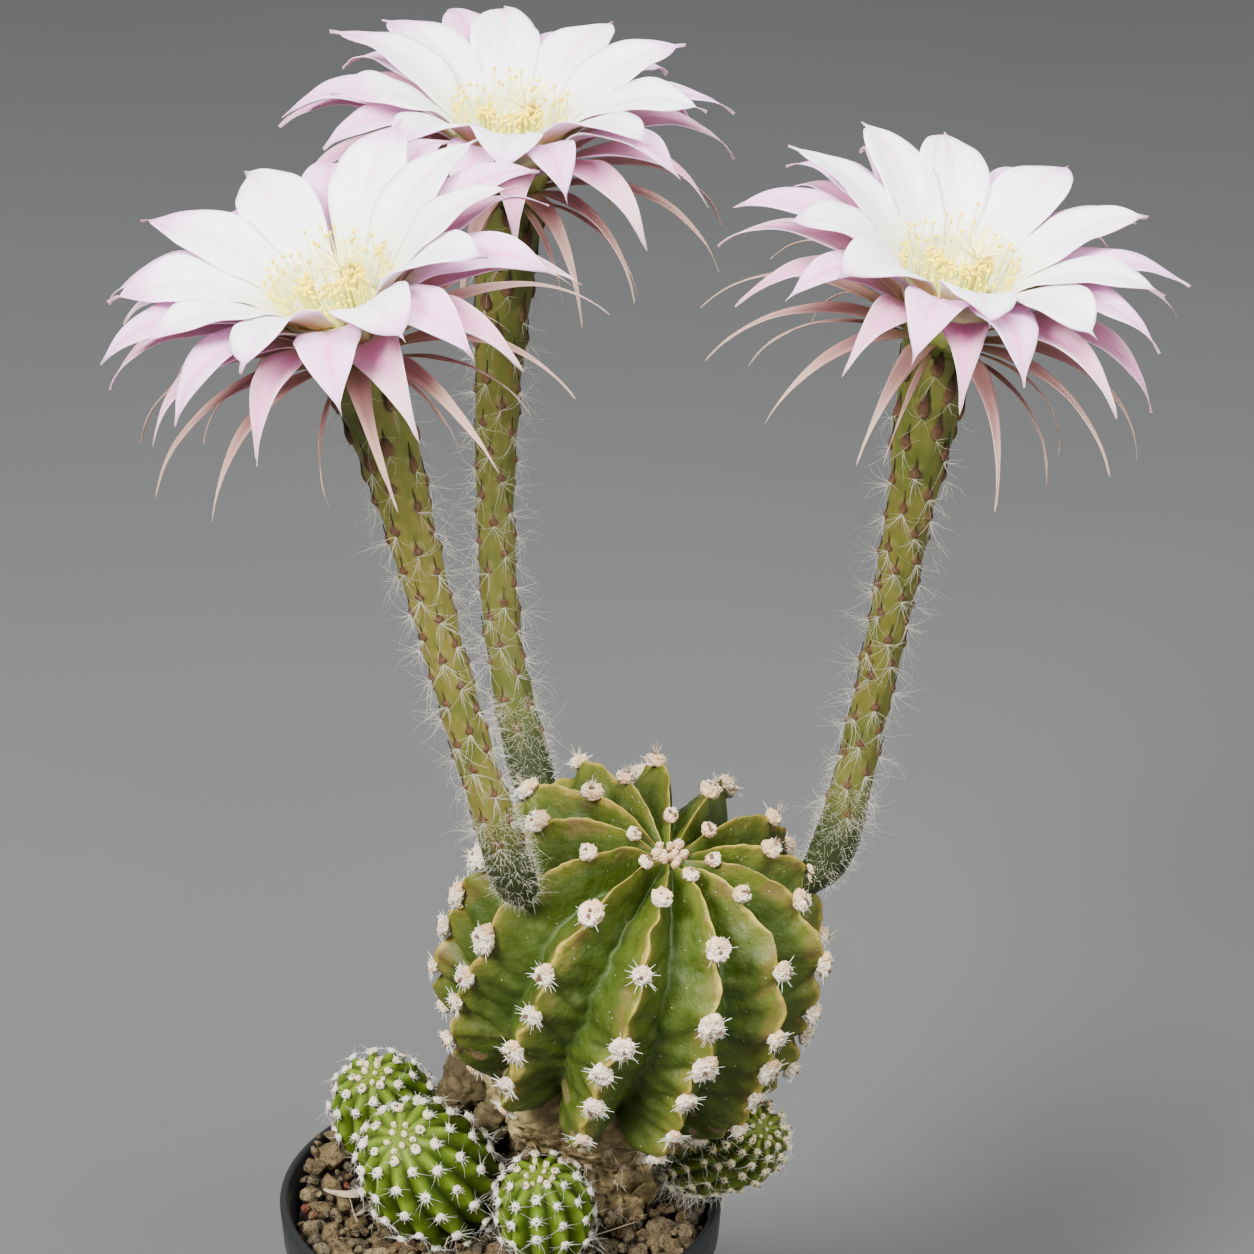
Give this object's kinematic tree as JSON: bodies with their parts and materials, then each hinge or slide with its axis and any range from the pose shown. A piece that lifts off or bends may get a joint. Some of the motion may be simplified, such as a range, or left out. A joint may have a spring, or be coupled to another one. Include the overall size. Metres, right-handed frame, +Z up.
{
  "type": "potted echinopsis cactus",
  "caption": "Ribbed globe cactus on a corky trunk in a round pot of grit, with small offsets and long-tubed white and pink flowers.",
  "frame": {"origin": "centre of the pot's underside, on the surface that the pot stands on", "axes": "+Z up, -Y the side that the globe leans towards and the picture is taken from, +X to the right from that side"},
  "size_m": [0.2629, 0.2285, 0.4099],
  "materials": {
    "pot_plastic": "satin moulded plastic, dark grey",
    "soil_grit": "dry brown, tan and grey grit",
    "cactus_skin": "waxy green skin, tan rib edges, cream wool, corky brown trunk",
    "pup_skin": "bright green skin with white woolly areoles",
    "tube_skin": "olive green with brown scales and white hairs",
    "sepal": "thin brown-pink sepals",
    "petal_pink": "soft pink petals",
    "petal_white": "white silky petals",
    "anther": "pale filaments with yellow pollen",
    "stigma": "cream stigma"
  },
  "bodies": {
    "root": {"pot": "pot_plastic", "soil": "soil_grit", "cactus_body": "cactus_skin", "pup_front_left": "pup_skin", "pup_back_left": "pup_skin", "pup_front": "pup_skin", "pup_right": "pup_skin", "flower_left_tube": "tube_skin", "flower_left_sepals": "sepal", "flower_left_outer_petals": "petal_pink", "flower_left_inner_petals": "petal_white", "flower_left_stamens": "anther", "flower_left_pistil": "stigma", "flower_back_tube": "tube_skin", "flower_back_sepals": "sepal", "flower_back_outer_petals": "petal_pink", "flower_back_inner_petals": "petal_white", "flower_back_stamens": "anther", "flower_back_pistil": "stigma", "flower_right_tube": "tube_skin", "flower_right_sepals": "sepal", "flower_right_outer_petals": "petal_pink", "flower_right_inner_petals": "petal_white", "flower_right_stamens": "anther", "flower_right_pistil": "stigma"}
  },
  "joints": []
}
